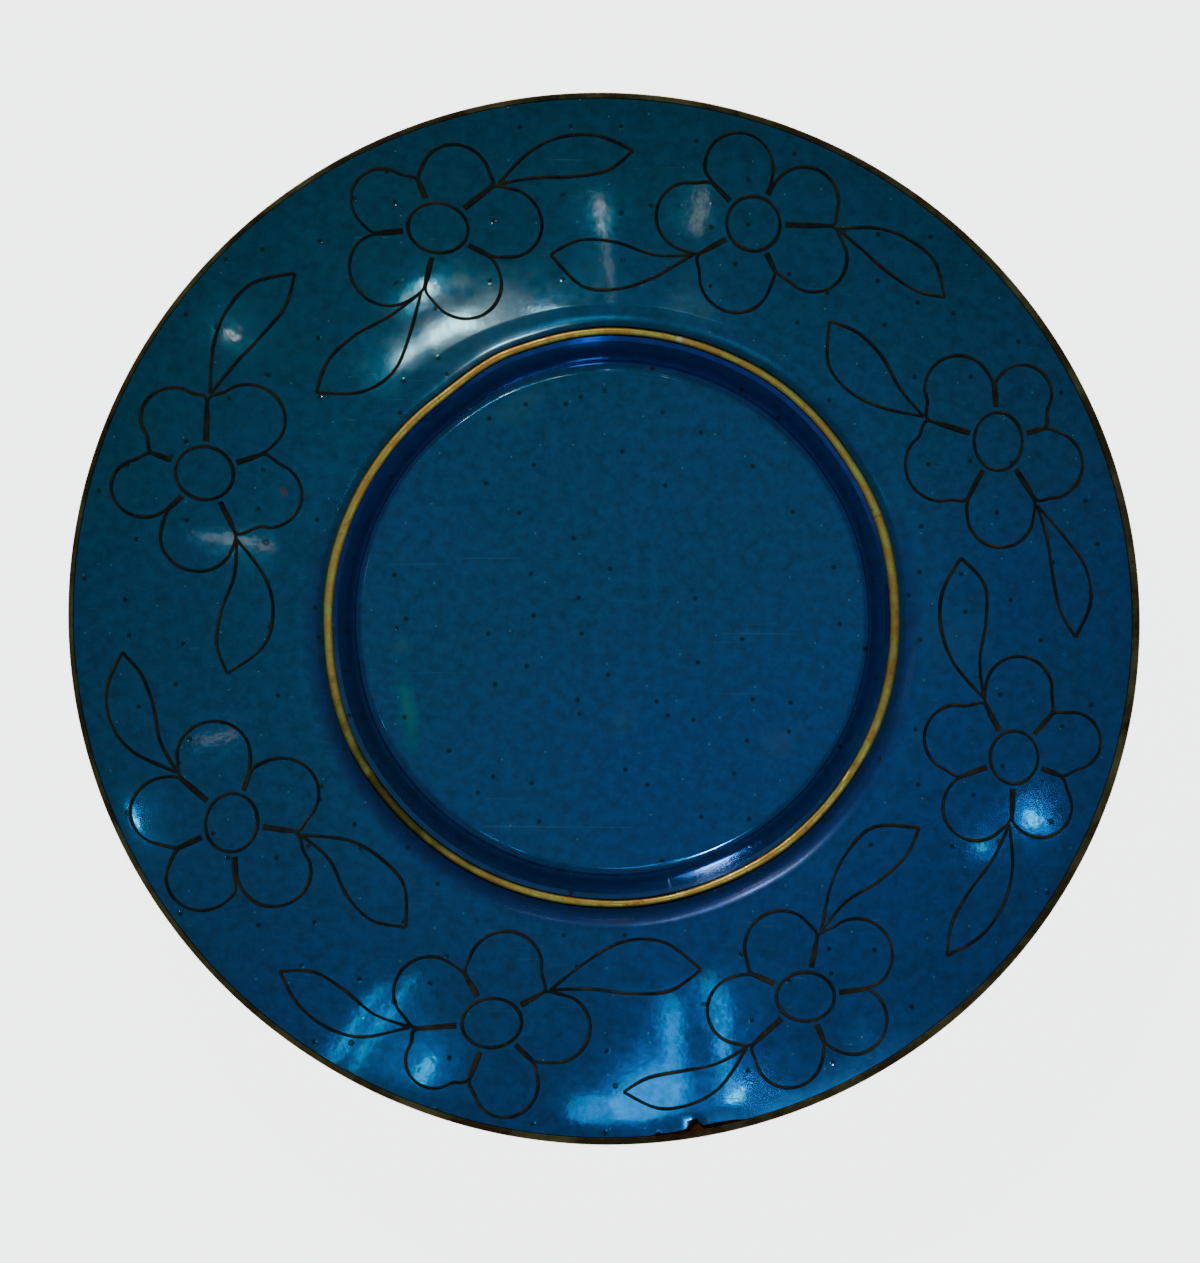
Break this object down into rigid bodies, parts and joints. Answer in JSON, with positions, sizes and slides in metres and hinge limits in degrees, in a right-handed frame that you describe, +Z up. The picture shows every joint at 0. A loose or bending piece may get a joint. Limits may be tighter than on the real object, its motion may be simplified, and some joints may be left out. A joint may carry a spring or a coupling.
{
  "type": "cloisonne trinket dish",
  "caption": "Round enamelled copper dish with a sunk well, a brass ring round it, a wide sloping rim with wire flower sprays, and a low foot.",
  "frame": {"origin": "middle of the dish's outline, on the plane that the foot stands on", "axes": "+Z up out of the well, +X and +Y in the plane of the table, with +Y towards the top of the picture"},
  "size_m": [0.103, 0.101, 0.015],
  "materials": {
    "copper_body": null,
    "brass_ring": "tarnished brass with bright worn places",
    "wire": "flat brass wire, oxidised nearly black",
    "blue_enamel": null,
    "counter_enamel": "plain blue counter enamel on the underside"
  },
  "bodies": {
    "root": {"metal_body": "copper_body", "ridge_ring": "brass_ring", "well_enamel": "blue_enamel", "rim_enamel": "blue_enamel", "back_enamel": "counter_enamel", "base_enamel": "counter_enamel", "flower_wire_1": "wire", "eye_wire_1": "wire", "leaf_wire_1_1": "wire", "leaf_wire_1_2": "wire", "flower_wire_2": "wire", "eye_wire_2": "wire", "leaf_wire_2_1": "wire", "leaf_wire_2_2": "wire", "flower_wire_3": "wire", "eye_wire_3": "wire", "leaf_wire_3_1": "wire", "leaf_wire_3_2": "wire", "flower_wire_4": "wire", "eye_wire_4": "wire", "leaf_wire_4_1": "wire", "leaf_wire_4_2": "wire", "flower_wire_5": "wire", "eye_wire_5": "wire", "leaf_wire_5_1": "wire", "leaf_wire_5_2": "wire", "flower_wire_6": "wire", "eye_wire_6": "wire", "leaf_wire_6_1": "wire", "leaf_wire_6_2": "wire", "flower_wire_7": "wire", "eye_wire_7": "wire", "leaf_wire_7_1": "wire", "leaf_wire_7_2": "wire", "flower_wire_8": "wire", "eye_wire_8": "wire", "leaf_wire_8_1": "wire", "leaf_wire_8_2": "wire"}
  },
  "joints": []
}
